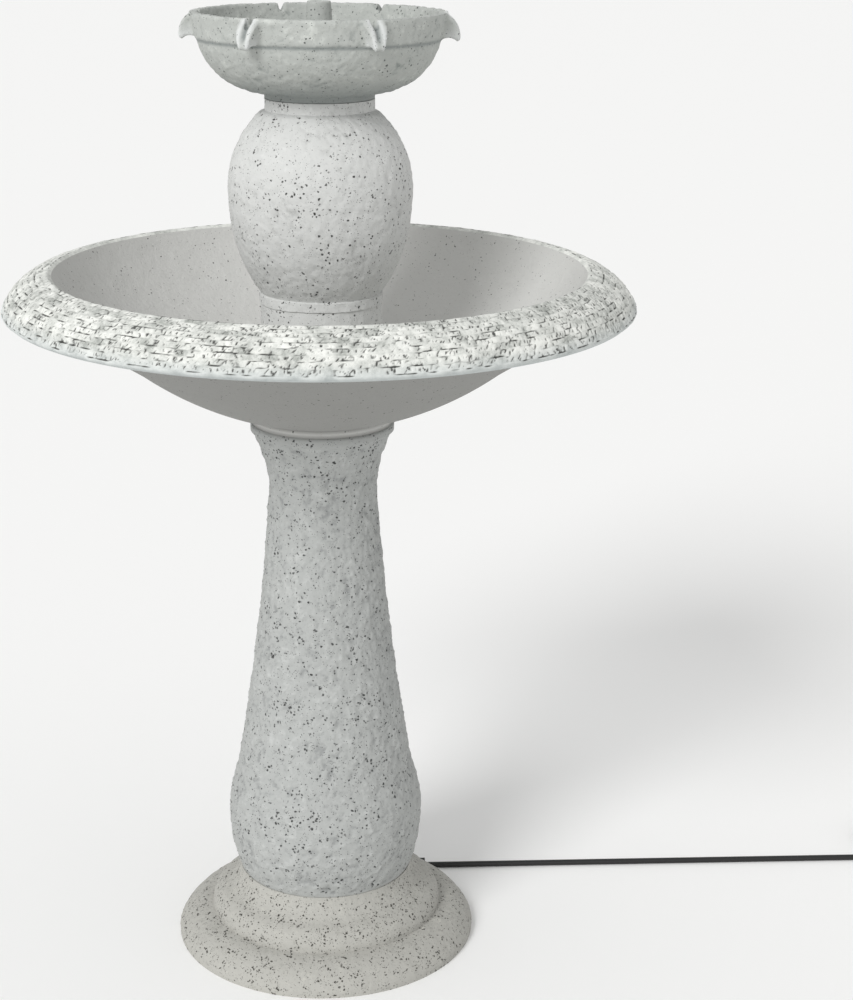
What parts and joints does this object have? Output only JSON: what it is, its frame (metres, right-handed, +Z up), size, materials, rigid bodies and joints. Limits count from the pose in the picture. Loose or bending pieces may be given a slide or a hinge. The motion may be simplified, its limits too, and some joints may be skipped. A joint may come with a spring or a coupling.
{
  "type": "tiered water fountain",
  "caption": "Free-standing garden fountain: hollow base and column, wide rimmed bowl, urn over a submerged pump, lipped top bowl, low-voltage lead.",
  "frame": {"origin": "on the ground at the fountain's upright axis", "axes": "+Z up along the axis, the front towards -Y, the lead leaves towards +X"},
  "size_m": [0.8925, 0.52, 0.818],
  "materials": {
    "stone_base": "cast resin stone, fine grit",
    "stone_column": "cast resin stone, fine grit",
    "stone_bowl": "cast resin stone, smooth dish and chipped rim",
    "stone_urn": "cast resin stone, fine grit",
    "stone_dish": "cast resin stone, mottled",
    "zinc": "zinc plated",
    "brass": "turned",
    "black_rubber": "moulded",
    "pump_plastic": "moulded ABS",
    "dial_plastic": "moulded ABS",
    "grey_plastic": "moulded",
    "vinyl": "clear extruded vinyl",
    "foam": "open-cell foam",
    "ferrite": "sintered ferrite",
    "steel": "ground",
    "copper": "enamelled copper wire",
    "cable_jacket": "satin extruded jacket",
    "nylon": "moulded"
  },
  "bodies": {
    "fountain": {"base_plinth": "stone_base", "cord_bush": "black_rubber", "pedestal_column": "stone_column", "base_bolts": "zinc", "base_washers": "zinc", "base_inserts": "brass", "bowl_bolts": "zinc", "bowl_washers": "black_rubber", "bowl_inserts": "brass", "main_bowl": "stone_bowl", "cable_stopper": "black_rubber", "pump_body": "pump_plastic", "pump_back_cover": "pump_plastic", "stator_core": "steel", "stator_winding": "copper", "impeller_shaft": "steel", "shaft_bushes": "black_rubber", "pump_chamber": "pump_plastic", "outlet_adapter": "pump_plastic", "pump_strainer": "pump_plastic", "pump_filter": "foam", "suction_cups": "black_rubber", "pump_gland": "black_rubber", "hose": "vinyl", "hose_clip": "nylon", "inner_cable": "cable_jacket", "cord": "cable_jacket", "cord_coil": "cable_jacket", "cord_end": "cable_jacket", "coil_tie": "nylon", "connector_body": "nylon", "connector_pins": "brass"},
    "urn_body": {"urn_sleeve": "stone_urn", "urn": "stone_urn"},
    "dish_body": {"top_bowl": "stone_dish", "spout_tube": "grey_plastic"},
    "rotor": {"impeller": "grey_plastic", "rotor_magnet": "ferrite"},
    "dial": {"flow_dial": "dial_plastic"},
    "coupling_nut": {"connector_nut": "nylon"}
  },
  "joints": [
    {"name": "urn_lift", "type": "slide", "parent": "fountain", "child": "urn_body", "axis": [0, 0, 1], "range_m": [0, 0.27]},
    {"name": "dish_lift", "type": "slide", "parent": "urn_body", "child": "dish_body", "axis": [0, 0, 1], "range_m": [0, 0.06]},
    {"name": "impeller_spin", "type": "hinge", "parent": "fountain", "child": "rotor", "pos_m": [-0.005, -0.011, 0.511], "axis": [1, 0, 0], "continuous": true},
    {"name": "flow_dial_turn", "type": "hinge", "parent": "fountain", "child": "dial", "pos_m": [-0.026, -0.011, 0.521], "axis": [1, 0, 0], "range_deg": [0, 90]},
    {"name": "coupling_nut_turn", "type": "hinge", "parent": "fountain", "child": "coupling_nut", "pos_m": [0.6245, 0.23, 0.008], "axis": [0, 1, 0], "continuous": true}
  ]
}
